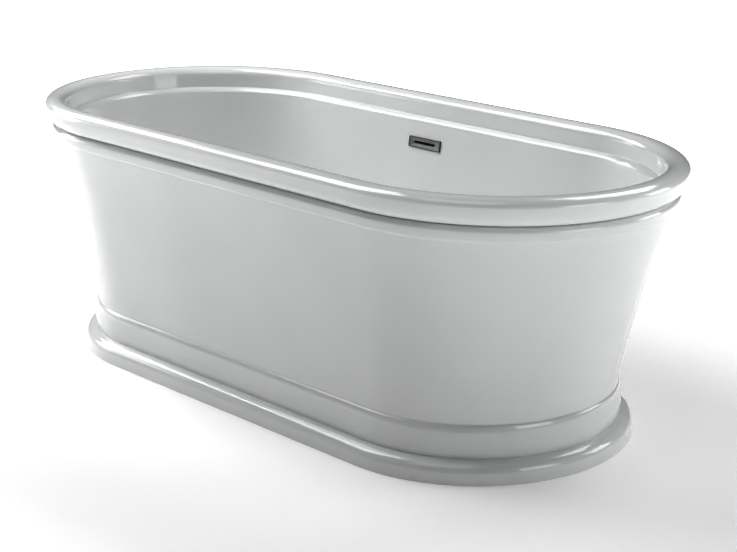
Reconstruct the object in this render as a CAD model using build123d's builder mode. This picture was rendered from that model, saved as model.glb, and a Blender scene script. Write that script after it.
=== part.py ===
"""Freestanding double-ended bathtub with a moulded rim and a stepped plinth.

Millimetres, +Z up, X along the tub and Y across it. The origin is on the floor, under the middle
of the tub. The overflow is on the +Y long side. Every outline in plan is a racetrack: two straight
sides joined by half ellipses. The shells are lofted through racetracks, which are placed by their
height and by how far they stand in from the widest outline of the rim or of the plinth.
"""

import os
from math import asin, cos, pi, radians, sin

from build123d import *

# Whole tub
LENGTH = 1700.0
WIDTH = 800.0
HEIGHT = 600.0
RIM_STRAIGHT = 440.0  # half length of the straight side, at the rim
PLINTH_HALF_LENGTH = 748.0
PLINTH_HALF_WIDTH = 352.0
PLINTH_STRAIGHT = 408.0

# Outer moulding, as (inset, height) corners; a quarter ellipse joins each rounded pair
PLINTH_FACE_TOP = (0.0, 22.0)
PLINTH_CREASE = (30.0, 45.0)
STEP_FACE = (26.0, 82.0)
WALL_FOOT = (35.0, 114.0)
WALL_SAG = 11.0  # how far the wall's middle curves in
WALL_HEAD = (20.0, 513.0)
MOULDING_FACE = (15.0, 531.0)
MOULDING_TOP = (27.0, 543.0)
ROLL_FOOT = (27.0, 544.0)
ROLL_FACE = (0.0, 582.0)
ROLL_OUTER_CREST = (27.0, HEIGHT)

# Inside of the rim, the ledge and the bowl
ROLL_INNER_CREST = (29.0, HEIGHT)
BAND_TOP = (54.0, 578.0)
BAND_FOOT = (57.0, 552.0)
LEDGE_BACK = (59.0, 550.0)
LEDGE_NOSE = (66.0, 547.0)
NOSE_MIDDLE = (70.0, 544.6)
BOWL_MOUTH = (71.0, 541.0)
# Bezier control values of the bowl: half length, half width, straight half length, height
BOWL_CONTROL = (
    (LENGTH / 2 - 71.0, WIDTH / 2 - 71.0, RIM_STRAIGHT, 541.0),
    (705.0, 304.0, 390.0, 340.0),
    (640.0, 272.0, 335.0, 165.0),
    (520.0, 170.0, 280.0, 165.0),
)
FLOOR_Z = 165.0
ACRYLIC = 5.0
BASIN_GLASS = 3.0
SKIRT_GLASS = 2.0
SHELL_DROP = 4.0  # how much lower the skirt's inside shoulders are than its outside ones
LIP_WIDTH = 5.0
FLANGE_INSET = 48.0
ARC_STEPS = 4
WALL_STEPS = 4
BOWL_STEPS = 8
CREST_SHIFT = 2.0  # how much further in the roll's inside crest starts than its outside one
FACE_DROP = 1.0  # how much lower the roll's widest place is inside than outside
OVERSHOOT = 1.0  # how far a cutter passes the face that it opens
BOND_MARGIN = 1.0
BOND_BACK_MARGIN = 4.0
BOND_GAP = 0.3
BOND_BEAD = 7.0

# Support frame
TUBE = 30.0
TUBE_WALL = 2.0
BOARD_HALF = (500.0, 165.0)
BOARD_STRAIGHT = 380.0
BOARD_THICKNESS = 15.0
GLUE_LINE = 0.1
BOARD_BOTTOM = FLOOR_Z - ACRYLIC - BASIN_GLASS - GLUE_LINE - BOARD_THICKNESS
RAIL_Y = 130.0
RAIL_HALF_LENGTH = 480.0
RAIL_BOTTOM = BOARD_BOTTOM - TUBE
CROSS_BOTTOM = RAIL_BOTTOM - TUBE
CROSS_X = 400.0
CROSS_HALF_LENGTH = 270.0
CENTRE_CROSS_X = 150.0
CENTRE_CROSS_HALF_LENGTH = 160.0
BOLT_X = (-450.0, -250.0, 250.0, 450.0)
BOLT_RADIUS = 3.0
BOLT_HEAD = 4.0
BOLT_ACROSS_CORNERS = 5.8
BOLT_BITE = 11.0
BOLT_CLEARANCE = 0.2
NUT_ROUNDING = 0.97  # a nut's turned blank, as a share of its corner radius

# Skirt brackets, one near each end of the two end cross tubes
BLOCK = (60.0, 40.0)
BLOCK_BOTTOM = 50.0
BLOCK_INNER_Y = 290.0
BRACKET = 3.0
BRACKET_WIDTH = 40.0
BRACKET_START_Y = 248.0
SCREW_RADIUS = 2.5
SCREW_HEAD_RADIUS = 4.5
SCREW_HEAD = 2.5
BLOCK_SCREW_Z = 62.0
BLOCK_SCREW_BITE = 16.0
TUBE_SCREW_Y = 259.0
TUBE_SCREW_BITE = 6.0

# Levelling feet
FOOT_Y = 230.0
FEET = (
    (-CROSS_X, -FOOT_Y),
    (-CROSS_X, FOOT_Y),
    (CROSS_X, -FOOT_Y),
    (CROSS_X, FOOT_Y),
    (CENTRE_CROSS_X, 0.0),
)
STUD_RADIUS = 6.0
RUNNING = 0.05  # radial clearance of turning and sliding fits
STUD_BOTTOM = 9.0
STUD_TOP = 109.0
STUD_HEX_RADIUS = 8.0
STUD_HEX = (30.0, 38.0)
STUD_BREAK = 1.0
STUD_CLEARANCE = 0.3
PAD_RADIUS = 25.0
PAD_RIM = 6.0
PAD_BREAK = 1.0
PAD_SHOULDER_INSET = 1.5
PAD_SHOULDER_OUT = 4.0
PAD_SHOULDER_RISE = 4.0
PAD_NECK_RADIUS = 10.0
PAD_NECK_RISE = 9.0
PAD_TOP = 24.0
PAD_SOCKET_BOTTOM = 8.8
NUT_HEIGHT = 10.0
LOCK_NUT_RADIUS = 11.0
FOOT_NUT_RADIUS = 10.5

# Waste
WASTE_X = -45.0
WASTE_Y = 55.0
DISH_RADIUS = 42.0
DISH_DEPTH = 4.0
DISH_SLOPE = 3.0
WASTE_HOLE_RADIUS = 23.0
GLASS_HOLE_RADIUS = 49.0
DRILL_Z = (140.0, 180.0)  # heights that the cutters of the waste's holes span
BOARD_HOLE_RADIUS = 52.0
FLANGE_RADIUS = 36.0
FLANGE_THICKNESS = 2.5
FLANGE_BREAK = 1.5
FLANGE_TAIL_RADIUS = 22.0
FLANGE_BORE_RADIUS = 18.0
FLANGE_TAIL_BOTTOM = 118.0
WASTE_SEAL_RADIUS = 33.0
UPPER_SEAL = 1.5
LOWER_SEAL = 3.0
BACKNUT_RADIUS = 32.0
BACKNUT_HEIGHT = 12.0
SPIDER_Z = (144.0, 149.0)
SPIDER_ARM = 4.0
SPIDER_HUB_RADIUS = 11.0
TEE_RADIUS = 26.0
TEE_TOP = 132.0
TEE_BOTTOM = 62.0
TEE_BREAK = 2.0
TEE_BORE_RADIUS = 20.0
TEE_NECK_RADIUS = 24.0
TEE_NECK_BOTTOM = 48.0
BRANCH_Z = 95.0
BRANCH_RADIUS = 9.0
BRANCH_BORE_RADIUS = 7.0
BRANCH_LENGTH = 28.0
TAILPIECE_RADIUS = 20.0
TAILPIECE_NECK_RADIUS = 19.0
TAILPIECE_BORE_RADIUS = 17.0
TAILPIECE_Z = (14.0, 60.0)
TAILPIECE_NUT_RADIUS = 29.0
TAILPIECE_NUT_Z = (44.0, 60.0)

# Click-clack stopper
CARTRIDGE_RADIUS = 8.0
CARTRIDGE_Z = (126.0, 156.0)
CARTRIDGE_FLOOR = 3.0
CARTRIDGE_BORE_RADIUS = 6.6
STEM_RADIUS = 4.0
STEM_COLLAR_RADIUS = 6.5
STEM_COLLAR_Z = (140.0, 143.0)
STEM_BOTTOM = 127.0
CAP_RADIUS = 30.0
CAP_Z = 167.4
CAP_EDGE = 2.6
CAP_CROWN = 3.5
CAP_HUB_RADIUS = 9.0
CAP_HUB_BOTTOM = 162.0
STOPPER_SEAL_RADII = (20.5, 26.0)
STOPPER_SEAL_BOTTOM = 165.2
SPRING_WIRE = 0.5
SPRING_RADIUS = 5.4
SPRING_PITCH = 2.6
SPRING_GAP = 0.1

# Overflow, in the plane of the bowl's far wall
OVERFLOW_X = -45.0
OVERFLOW_PLACE = 0.0855  # along the bowl's profile, from its mouth
PLACE_STEP = 0.01
THROUGH = 30.0  # reach of a cutter to either side of the overflow's plane
PLATE = (102.0, 26.0)
PLATE_THICKNESS = 3.5
PLATE_RECESS = 1.8
PLATE_RIM = 2.6
PLATE_EDGE = 1.0
PLATE_CORNER = 2.0
SLOT_DEPTH = 2.0
SLOT = (66.0, 6.0)
WALL_HOLE = (78.0, 16.0)
SCREW_HOLE_X = 43.0
SCREW_HOLE_DEPTH = 26.0
SCREW_DEPTH = 24.0
SCREW_HEAD_DEPTHS = (0.4, 1.6)
HOUSING = (104.0, 38.0)
HOUSING_CORNER = 6.0
HOUSING_END = 13.0
HOUSING_DEPTH = 22.0
HOUSING_WALL = 3.0
GASKET = 3.0
SPIGOT_DEPTH = 23.0  # from the bowl's inner face to the spigot's axis
SPIGOT_RADIUS = 9.0
SPIGOT_BORE_RADIUS = 7.0
SPIGOT_LENGTH = 20.0
SPIGOT_ROOT = 4.0

# Overflow hose, and the band clips on its ends
HOSE_RADIUS = 12.0
HOSE_CLIP_RADIUS = 13.5
HOSE_CLIP_WIDTH = 9.0
HOSE_CLIP_PLACE = 11.0  # from the hose's end to the middle of the clip
HOSE_CLIP_LUG = (9.0, 8.0)
HOSE_CLIP_LUG_OUT = 3.0
HOSE_STRAIGHT = 40.0
HOSE_BRANCH_STRAIGHT = 56.0
HOSE_END_GAP = 1.0
HOSE_BEND_SHARE = 0.45  # of the shorter run beside a corner
HOSE_POINTS = ((325.0, 370.0), (310.0, 300.0), (290.0, 228.0), (256.0, 160.0), (206.0, 108.0))


def rim_level(corner):
    """Racetrack that stands in from the rim's widest outline, at a corner's height."""
    inset, height = corner
    return LENGTH / 2 - inset, WIDTH / 2 - inset, RIM_STRAIGHT, height


def plinth_level(corner):
    """Racetrack that stands in from the plinth's widest outline, at a corner's height."""
    inset, height = corner
    return PLINTH_HALF_LENGTH - inset, PLINTH_HALF_WIDTH - inset, PLINTH_STRAIGHT, height


def wall_level(share, depth, drop):
    """Racetrack on the flared wall, share of the way up it and depth inside its outer face."""
    foot = plinth_level(WALL_FOOT)
    head = rim_level(WALL_HEAD)
    blended = [low + (high - low) * share for low, high in zip(foot, head)]
    inward = WALL_SAG * 4 * share * (1 - share) + depth
    return blended[0] - inward, blended[1] - inward, blended[2], blended[3] - drop


def bowl_level(place, depth):
    """Racetrack on the bowl, from its mouth (place 0) to its floor (1), depth outside its face."""
    rest = 1 - place
    weights = (rest**3, 3 * rest**2 * place, 3 * rest * place**2, place**3)
    level = [sum(w * control[i] for w, control in zip(weights, BOWL_CONTROL)) for i in range(4)]
    spread = depth * cos(place * pi / 2)
    drop = depth * sin(place * pi / 2)
    return level[0] + spread, level[1] + spread, level[2], level[3] - drop


def rounded(start, finish, level_first):
    """Corners along a quarter ellipse between two corners, level at one end and upright at the other."""
    corners = []
    for step in range(ARC_STEPS + 1):
        angle = radians(90.0 * step / ARC_STEPS)
        across = sin(angle) if level_first else 1 - cos(angle)
        up = 1 - cos(angle) if level_first else sin(angle)
        inset = start[0] + (finish[0] - start[0]) * across
        corners.append((inset, start[1] + (finish[1] - start[1]) * up))
    return corners


def inner(corner):
    """The corner on the inside of the skirt's sheet that backs a corner of its outside."""
    return corner[0] + ACRYLIC, corner[1] - SHELL_DROP


def racetrack(half_length, half_width, straight, height):
    """Racetrack face at a height."""
    with BuildSketch(Plane.XY.offset(height)) as outline:
        with BuildLine():
            end_run = half_length - straight
            right = EllipticalCenterArc((straight, 0), end_run, half_width, -90, arc_size=180)
            left = EllipticalCenterArc((-straight, 0), end_run, half_width, 90, arc_size=180)
            Line(right @ 1, left @ 0)
            Line(left @ 1, right @ 0)
        make_face()
    return outline.sketch


def lofted(*bands):
    """Solid made of bands, each a smooth loft through its racetracks, stacked from the bottom up."""
    with BuildPart() as solid:
        for band in bands:
            loft([racetrack(*level) for level in band])
    return solid.part


def skirt_volume():
    """Everything inside the skirt's outer face."""
    return lofted(
        [plinth_level((0, 0)), plinth_level(PLINTH_FACE_TOP)],
        [plinth_level(corner) for corner in rounded(PLINTH_FACE_TOP, PLINTH_CREASE, False)],
        [plinth_level(corner) for corner in rounded(PLINTH_CREASE, STEP_FACE, True)],
        [plinth_level(corner) for corner in rounded(STEP_FACE, WALL_FOOT, False)],
        wall_band(0, 0),
        [rim_level(corner) for corner in rounded(WALL_HEAD, MOULDING_FACE, True)],
        [rim_level(corner) for corner in rounded(MOULDING_FACE, MOULDING_TOP, False)],
    )


def wall_band(depth, drop):
    """Racetracks of the flared wall, depth inside its outer face."""
    return [wall_level(step / WALL_STEPS, depth, drop) for step in range(WALL_STEPS + 1)]


def plinth_inside_bands():
    """Bands of the hollow inside the plinth, up to the foot of the wall."""
    face_foot = inner((0, SHELL_DROP))
    return (
        [plinth_level(face_foot), plinth_level(inner(PLINTH_FACE_TOP))],
        [plinth_level(c) for c in rounded(inner(PLINTH_FACE_TOP), inner(PLINTH_CREASE), False)],
        [plinth_level(c) for c in rounded(inner(PLINTH_CREASE), inner(STEP_FACE), True)],
        [plinth_level(c) for c in rounded(inner(STEP_FACE), inner(WALL_FOOT), False)],
    )


def skirt_hollow():
    """The hollow inside the skirt's sheet."""
    return lofted(
        *plinth_inside_bands(),
        wall_band(ACRYLIC, SHELL_DROP),
        [rim_level(c) for c in rounded(inner(WALL_HEAD), inner(MOULDING_FACE), True)],
        [rim_level(c) for c in rounded(inner(MOULDING_FACE), inner(MOULDING_TOP), False)],
    )


def bowl_volume(depth):
    """Everything inside the bowl's face, or inside a face depth outside it."""
    return lofted([bowl_level(1 - step / BOWL_STEPS, depth) for step in range(BOWL_STEPS + 1)])


def mouth_hollow():
    """The open space above the bowl: past the ledge, the band and the roll."""
    return lofted(
        [rim_level(BOWL_MOUTH), rim_level(NOSE_MIDDLE), rim_level(LEDGE_NOSE)],
        [rim_level(LEDGE_NOSE), rim_level(LEDGE_BACK)],
        [rim_level(corner) for corner in rounded(LEDGE_BACK, BAND_FOOT, True)],
        [rim_level(BAND_FOOT), rim_level(BAND_TOP)],
        [rim_level(corner) for corner in rounded(BAND_TOP, ROLL_INNER_CREST, False)],
    )


def roll_volume():
    """Everything inside the roll's outer face."""
    return lofted(
        [rim_level(corner) for corner in rounded(ROLL_FOOT, ROLL_FACE, True)],
        [rim_level(corner) for corner in rounded(ROLL_FACE, ROLL_OUTER_CREST, False)],
    )


def mouth_backing():
    """Everything inside the back of the sheet that forms the ledge, the band and the roll's inside."""
    neck = (BOWL_MOUTH[0] - ACRYLIC, BOWL_MOUTH[1])
    band_foot = (BAND_FOOT[0] - ACRYLIC, BAND_FOOT[1] - ACRYLIC)
    band_top = (BAND_TOP[0] - ACRYLIC, BAND_TOP[1])
    crest = (ROLL_INNER_CREST[0] + ACRYLIC, HEIGHT - ACRYLIC)
    return lofted(
        [rim_level(neck), rim_level(band_foot)],
        [rim_level(band_foot), rim_level(band_top)],
        [rim_level(corner) for corner in rounded(band_top, crest, False)],
    )


def under_roll():
    """The hollow inside the roll, open at the bottom between its lip and the bowl."""
    foot = (ROLL_FOOT[0] + LIP_WIDTH, ROLL_FOOT[1])
    face = (ROLL_FACE[0] + LIP_WIDTH, ROLL_FACE[1] - FACE_DROP)
    crest = (ROLL_OUTER_CREST[0] + CREST_SHIFT, HEIGHT - ACRYLIC)
    with BuildPart() as hollow:
        add(
            lofted(
                [rim_level(corner) for corner in rounded(foot, face, True)],
                [rim_level(corner) for corner in rounded(face, crest, False)],
            )
        )
        add(mouth_backing(), mode=Mode.SUBTRACT)
    return hollow.part


def overflow_plane():
    """Plane on the far wall's inner face at the overflow: X along the tub, Y up the wall."""
    above = bowl_level(OVERFLOW_PLACE - PLACE_STEP, 0)
    place = bowl_level(OVERFLOW_PLACE, 0)
    below = bowl_level(OVERFLOW_PLACE + PLACE_STEP, 0)
    up_wall = Vector(0, above[1] - below[1], above[3] - below[3])
    along = Vector(1, 0, 0)
    return Plane(origin=(OVERFLOW_X, place[1], place[3]), x_dir=along, z_dir=along.cross(up_wall))


def slot_block(size, low, high, plane):
    """Round-ended block through the overflow's plane, from depth low to depth high."""
    with BuildPart() as block:
        with BuildSketch(plane.offset(low)):
            SlotOverall(*size)
        extrude(amount=high - low)
    return block.part


def cylinder_on(plane, radius, low, high):
    """Cylinder along a plane's normal, from distance low to distance high."""
    with BuildPart() as rod:
        with BuildSketch(plane.offset(low)):
            Circle(radius)
        extrude(amount=high - low)
    return rod.part


def vertical(x, y, radius, low, high):
    """Upright cylinder at a place, from height low to height high."""
    return cylinder_on(Plane(origin=(x, y, 0)), radius, low, high)


def finish(builder, name):
    """Label a finished piece and write it."""
    builder.part.label = name
    export_step(builder.part, f"parts/{name}.step")


def overflow_holes():
    """The wall's slot and its two screw holes, as solids to take away."""
    plane = overflow_plane()
    with BuildPart() as holes:
        add(slot_block(WALL_HOLE, -THROUGH, THROUGH, plane))
        for x in (-SCREW_HOLE_X, SCREW_HOLE_X):
            screw_plane = Plane(origin=plane.from_local_coords((x, 0, 0)), z_dir=plane.z_dir)
            add(cylinder_on(screw_plane, SCREW_RADIUS, -THROUGH, THROUGH))
    return holes.part


def make_basin():
    """Inner sheet: roll, band, ledge and bowl, with the waste's dish and the overflow's holes."""
    dish_floor = FLOOR_Z - DISH_DEPTH
    with BuildPart() as basin:
        add(roll_volume())
        add(mouth_backing())
        add(bowl_volume(ACRYLIC))
        with BuildSketch(Plane(origin=(WASTE_X, WASTE_Y, dish_floor - ACRYLIC))):
            Circle(DISH_RADIUS + ACRYLIC)
        extrude(amount=DISH_DEPTH + OVERSHOOT)
        add(under_roll(), mode=Mode.SUBTRACT)
        add(mouth_hollow(), mode=Mode.SUBTRACT)
        add(bowl_volume(0), mode=Mode.SUBTRACT)
        with BuildSketch(Plane(origin=(WASTE_X, WASTE_Y, dish_floor))):
            Circle(DISH_RADIUS - DISH_SLOPE)
        with BuildSketch(Plane(origin=(WASTE_X, WASTE_Y, FLOOR_Z))):
            Circle(DISH_RADIUS)
        loft(mode=Mode.SUBTRACT)
        add(vertical(WASTE_X, WASTE_Y, WASTE_HOLE_RADIUS, *DRILL_Z), mode=Mode.SUBTRACT)
        add(overflow_holes(), mode=Mode.SUBTRACT)
    finish(basin, "inner_basin")


def make_basin_glass():
    """Resin and glass laid on the back of the bowl."""
    with BuildPart() as glass:
        add(bowl_volume(ACRYLIC + BASIN_GLASS))
        add(bowl_volume(ACRYLIC), mode=Mode.SUBTRACT)
        add(vertical(WASTE_X, WASTE_Y, GLASS_HOLE_RADIUS, *DRILL_Z), mode=Mode.SUBTRACT)
        add(overflow_holes(), mode=Mode.SUBTRACT)
    finish(glass, "basin_fibreglass")


def make_skirt():
    """Outer sheet, from the floor to the flange under the roll."""
    with BuildPart() as skirt:
        add(skirt_volume())
        add(skirt_hollow(), mode=Mode.SUBTRACT)
        with BuildSketch(Plane.XY.offset(MOULDING_TOP[1] - 2 * ACRYLIC)):
            add(racetrack(*rim_level((FLANGE_INSET, 0))))
        extrude(amount=3 * ACRYLIC, mode=Mode.SUBTRACT)
    finish(skirt, "outer_skirt")


def make_skirt_glass():
    """Resin and glass laid on the inside of the skirt's wall."""
    with BuildPart() as glass:
        add(lofted(wall_band(ACRYLIC, SHELL_DROP)))
        add(lofted(wall_band(ACRYLIC + SKIRT_GLASS, SHELL_DROP)), mode=Mode.SUBTRACT)
    finish(glass, "skirt_fibreglass")


def ring_between(outer_inset, inner_inset, low, high):
    """Upright racetrack ring between two insets from the rim."""
    with BuildPart() as ring:
        with BuildSketch(Plane.XY.offset(low)):
            add(racetrack(*rim_level((outer_inset, 0))))
            add(racetrack(*rim_level((inner_inset, 0))), mode=Mode.SUBTRACT)
        extrude(amount=high - low)
    return ring.part


def make_rim_bond():
    """Bonding paste between the skirt's flange and the roll's lip, with its bead inside the lip."""
    lip_back = ROLL_FOOT[0] + LIP_WIDTH + BOND_GAP
    back = FLANGE_INSET - BOND_BACK_MARGIN
    with BuildPart() as bond:
        add(ring_between(ROLL_FOOT[0] + BOND_MARGIN, back, MOULDING_TOP[1], ROLL_FOOT[1]))
        add(ring_between(lip_back, back, ROLL_FOOT[1], ROLL_FOOT[1] + BOND_BEAD))
    finish(bond, "rim_bond")


def make_base_board():
    """Board under the bowl's floor, open round the waste and drilled for the rail bolts."""
    with BuildPart() as board:
        with BuildSketch(Plane.XY.offset(BOARD_BOTTOM)):
            add(racetrack(*BOARD_HALF, BOARD_STRAIGHT, 0))
            with Locations((WASTE_X, WASTE_Y)):
                Circle(BOARD_HOLE_RADIUS, mode=Mode.SUBTRACT)
        extrude(amount=BOARD_THICKNESS)
        with BuildSketch(Plane.XY.offset(BOARD_BOTTOM)):
            with Locations([(x, y) for x in BOLT_X for y in (-RAIL_Y, RAIL_Y)]):
                Circle(BOLT_RADIUS)
        extrude(amount=BOLT_BITE, mode=Mode.SUBTRACT)
    finish(board, "base_board")


def square_tube(centre, length, along):
    """Square steel tube round a centre line."""
    middle = Plane(origin=centre, z_dir=along)
    with BuildPart() as tube:
        with BuildSketch(middle):
            RectangleRounded(TUBE, TUBE, TUBE_WALL)
            Rectangle(TUBE - 2 * TUBE_WALL, TUBE - 2 * TUBE_WALL, mode=Mode.SUBTRACT)
        extrude(amount=length / 2, both=True)
    return tube.part


def make_rail(name, y):
    """Long rail under the board, drilled for its bolts."""
    with BuildPart() as rail:
        add(square_tube((0, y, RAIL_BOTTOM + TUBE / 2), 2 * RAIL_HALF_LENGTH, (1, 0, 0)))
        for x in BOLT_X:
            hole_radius = BOLT_RADIUS + BOLT_CLEARANCE
            bolt_hole = vertical(x, y, hole_radius, RAIL_BOTTOM - OVERSHOOT, BOARD_BOTTOM + OVERSHOOT)
            add(bolt_hole, mode=Mode.SUBTRACT)
    finish(rail, name)


def make_cross_tube(name, x, half_length, feet_y):
    """Cross tube under the rails, drilled for its feet and its bracket screws."""
    below = CROSS_BOTTOM - OVERSHOOT
    above = CROSS_BOTTOM + TUBE_WALL + OVERSHOOT
    with BuildPart() as cross:
        add(square_tube((x, 0, CROSS_BOTTOM + TUBE / 2), 2 * half_length, (0, 1, 0)))
        for y in feet_y:
            foot_hole = vertical(x, y, STUD_RADIUS + STUD_CLEARANCE, below, above)
            add(foot_hole, mode=Mode.SUBTRACT)
        if half_length > TUBE_SCREW_Y:
            for y in (-TUBE_SCREW_Y, TUBE_SCREW_Y):
                screw_hole = vertical(x, y, SCREW_RADIUS, below, above)
                add(screw_hole, mode=Mode.SUBTRACT)
    finish(cross, name)


def hexagon(x, y, corner_radius, low, high, bore_radius):
    """Upright hexagonal nut with broken corners, or a solid head where bore_radius is 0."""
    with BuildPart() as nut:
        with BuildSketch(Plane(origin=(x, y, low))):
            RegularPolygon(corner_radius, 6)
        extrude(amount=high - low)
        with BuildSketch(Plane(origin=(x, y, low))):
            Circle(corner_radius * NUT_ROUNDING)
        extrude(amount=high - low, mode=Mode.INTERSECT)
        if bore_radius:
            bore = vertical(x, y, bore_radius, low - OVERSHOOT, high + OVERSHOOT)
            add(bore, mode=Mode.SUBTRACT)
    return nut.part


def make_rail_bolts():
    """Bolts that hold the rails to the board."""
    with BuildPart() as bolts:
        for x in BOLT_X:
            for y in (-RAIL_Y, RAIL_Y):
                add(hexagon(x, y, BOLT_ACROSS_CORNERS, RAIL_BOTTOM - BOLT_HEAD, RAIL_BOTTOM, 0))
                add(vertical(x, y, BOLT_RADIUS, RAIL_BOTTOM, BOARD_BOTTOM + BOLT_BITE))
    finish(bolts, "rail_bolts")


def corner_signs():
    """The four corners of the frame, as signs of X and Y."""
    return [(sign_x, sign_y) for sign_x in (-1, 1) for sign_y in (-1, 1)]


def make_skirt_blocks():
    """Timber blocks bonded inside the plinth, shaped to its inner face."""
    low = BLOCK_BOTTOM
    reach = PLINTH_HALF_WIDTH - BLOCK_INNER_Y
    with BuildPart() as blocks:
        for sign_x, sign_y in corner_signs():
            with BuildSketch(Plane.XY.offset(low)):
                with Locations((sign_x * CROSS_X, sign_y * (BLOCK_INNER_Y + reach / 2))):
                    Rectangle(BLOCK[0], reach)
            extrude(amount=BLOCK[1])
        add(lofted(*plinth_inside_bands()), mode=Mode.INTERSECT)
        for sign_x, sign_y in corner_signs():
            add(block_screw(sign_x, sign_y, 0), mode=Mode.SUBTRACT)
    finish(blocks, "skirt_blocks")


def block_screw(sign_x, sign_y, head):
    """Screw through a bracket's upright leg into its block; head is the head's thickness."""
    inner_face = BLOCK_INNER_Y - BRACKET
    outward = Plane(origin=(sign_x * CROSS_X, sign_y * inner_face, BLOCK_SCREW_Z), z_dir=(0, sign_y, 0))
    with BuildPart() as screw:
        add(cylinder_on(outward, SCREW_RADIUS, 0, BRACKET + BLOCK_SCREW_BITE))
        if head:
            add(cylinder_on(outward, SCREW_HEAD_RADIUS, -head, 0))
    return screw.part


def tube_screw(sign_x, sign_y, head):
    """Screw up through a bracket's level leg into its cross tube; head is the head's thickness."""
    x = sign_x * CROSS_X
    y = sign_y * TUBE_SCREW_Y
    leg_bottom = CROSS_BOTTOM - BRACKET
    with BuildPart() as screw:
        add(vertical(x, y, SCREW_RADIUS, leg_bottom, CROSS_BOTTOM + TUBE_SCREW_BITE))
        if head:
            add(vertical(x, y, SCREW_HEAD_RADIUS, leg_bottom - head, leg_bottom))
    return screw.part


def make_skirt_brackets():
    """Angle brackets from the cross tubes to the blocks."""
    leg_bottom = CROSS_BOTTOM - BRACKET
    with BuildPart() as brackets:
        for sign_x, sign_y in corner_signs():
            start = (sign_x * CROSS_X - BRACKET_WIDTH / 2, 0, 0)
            section = Plane(origin=start, x_dir=(0, sign_y, 0), z_dir=(sign_y, 0, 0))
            if sign_y < 0:
                section = section.offset(-BRACKET_WIDTH)
            with BuildSketch(section):
                with BuildLine():
                    Polyline(
                        (BRACKET_START_Y, leg_bottom),
                        (BLOCK_INNER_Y - BRACKET, leg_bottom),
                        (BLOCK_INNER_Y - BRACKET, BLOCK_BOTTOM),
                        (BLOCK_INNER_Y, BLOCK_BOTTOM),
                        (BLOCK_INNER_Y, CROSS_BOTTOM),
                        (BRACKET_START_Y, CROSS_BOTTOM),
                        close=True,
                    )
                make_face()
            extrude(amount=BRACKET_WIDTH)
        for sign_x, sign_y in corner_signs():
            add(block_screw(sign_x, sign_y, 0), mode=Mode.SUBTRACT)
            add(tube_screw(sign_x, sign_y, 0), mode=Mode.SUBTRACT)
    finish(brackets, "skirt_brackets")


def make_bracket_screws():
    """Screws of the skirt brackets."""
    with BuildPart() as screws:
        for sign_x, sign_y in corner_signs():
            add(block_screw(sign_x, sign_y, SCREW_HEAD))
            add(tube_screw(sign_x, sign_y, SCREW_HEAD))
    finish(screws, "bracket_screws")


def make_foot_nuts():
    """Nuts welded inside the cross tubes, which the feet screw through."""
    low = CROSS_BOTTOM + TUBE_WALL
    with BuildPart() as nuts:
        for x, y in FEET:
            add(hexagon(x, y, FOOT_NUT_RADIUS, low, low + NUT_HEIGHT, STUD_RADIUS + RUNNING))
    finish(nuts, "foot_nuts")


def make_foot(number, x, y):
    """One levelling foot: its pad, its stud and its lock nut."""
    centre = Plane(origin=(x, y, 0), x_dir=(1, 0, 0), z_dir=(0, -1, 0))
    shoulder_top = (PAD_NECK_RADIUS + PAD_SHOULDER_OUT, PAD_RIM + PAD_SHOULDER_RISE)
    with BuildPart() as pad:
        with BuildSketch(centre):
            with BuildLine():
                edge = Line((0, 0), (PAD_RADIUS - PAD_BREAK, 0))
                bead = Line((PAD_RADIUS, PAD_BREAK), (PAD_RADIUS, PAD_RIM - PAD_BREAK))
                Line(edge @ 1, bead @ 0)
                shoulder = Line((PAD_RADIUS - PAD_SHOULDER_INSET, PAD_RIM), shoulder_top)
                Line(bead @ 1, shoulder @ 0)
                neck = Line((PAD_NECK_RADIUS, PAD_RIM + PAD_NECK_RISE), (PAD_NECK_RADIUS, PAD_TOP))
                Line(shoulder @ 1, neck @ 0)
                Line(neck @ 1, (0, PAD_TOP))
                Line((0, PAD_TOP), edge @ 0)
            make_face()
        revolve(axis=Axis((x, y, 0), (0, 0, 1)))
        socket = vertical(x, y, STUD_RADIUS + RUNNING, PAD_SOCKET_BOTTOM, PAD_TOP + OVERSHOOT)
        add(socket, mode=Mode.SUBTRACT)
    finish(pad, f"foot_pad_{number}")
    with BuildPart() as stud:
        add(vertical(x, y, STUD_RADIUS, STUD_BOTTOM, STUD_TOP))
        chamfer(stud.edges().group_by(Axis.Z)[-1], STUD_BREAK)
        chamfer(stud.edges().group_by(Axis.Z)[0], STUD_BREAK)
        add(hexagon(x, y, STUD_HEX_RADIUS, STUD_HEX[0], STUD_HEX[1], 0))
    finish(stud, f"foot_stud_{number}")
    with BuildPart() as lock_nut:
        bore = STUD_RADIUS + RUNNING
        add(hexagon(x, y, LOCK_NUT_RADIUS, CROSS_BOTTOM - NUT_HEIGHT, CROSS_BOTTOM, bore))
    finish(lock_nut, f"foot_lock_nut_{number}")


def washer(radius, bore, low, high):
    """Flat ring round the waste's axis."""
    with BuildPart() as ring:
        with BuildSketch(Plane(origin=(WASTE_X, WASTE_Y, low))):
            Circle(radius)
            Circle(bore, mode=Mode.SUBTRACT)
        extrude(amount=high - low)
    return ring.part


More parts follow.
